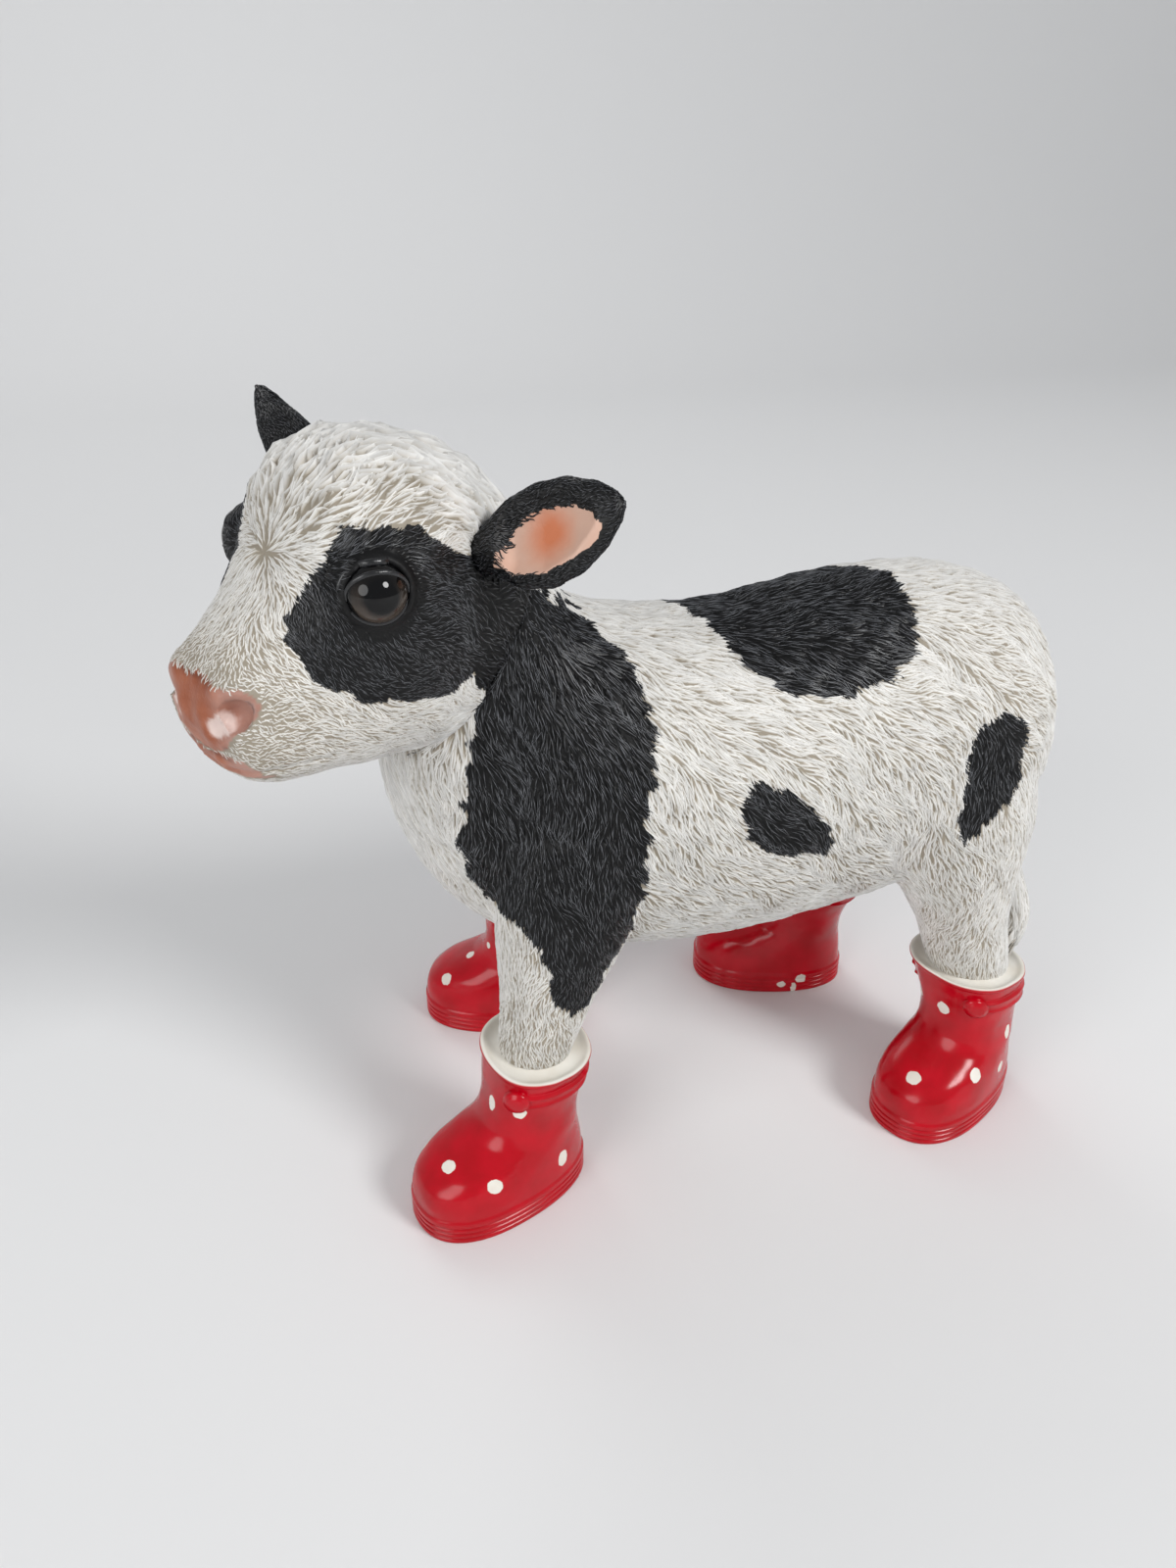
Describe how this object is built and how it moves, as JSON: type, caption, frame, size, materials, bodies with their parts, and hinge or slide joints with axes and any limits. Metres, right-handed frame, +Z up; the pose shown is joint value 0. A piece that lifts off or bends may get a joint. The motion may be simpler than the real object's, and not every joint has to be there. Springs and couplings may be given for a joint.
{
  "type": "cow figurine",
  "caption": "Standing calf ornament in cast resin, black and white carved coat, head turned to its left, glass eyes, red dotted wellington boots on its feet.",
  "frame": {"origin": "centre of the box round the whole figurine, on the floor", "axes": "-X the way the calf faces, -Y its left side, +Z up"},
  "size_m": [0.3384, 0.184, 0.3152],
  "materials": {
    "coat": "matt hand-painted cast resin, off-white with black patches",
    "ear_paint": "matt black painted resin with a peach inside",
    "boot_paint": "gloss crimson painted resin with white dots",
    "eye_glass": "clear polished dome",
    "eye_paint": "dark brown painted disc"
  },
  "bodies": {
    "root": {"torso": "coat", "head": "coat", "ear_left": "ear_paint", "ear_right": "ear_paint", "eye_lens_left": "eye_glass", "eye_lens_right": "eye_glass", "eye_iris_left": "eye_paint", "eye_iris_right": "eye_paint", "tail": "coat", "leg_front_left": "coat", "leg_front_right": "coat", "leg_hind_left": "coat", "leg_hind_right": "coat", "boot_front_left": "boot_paint", "boot_front_right": "boot_paint", "boot_hind_left": "boot_paint", "boot_hind_right": "boot_paint"}
  },
  "joints": []
}
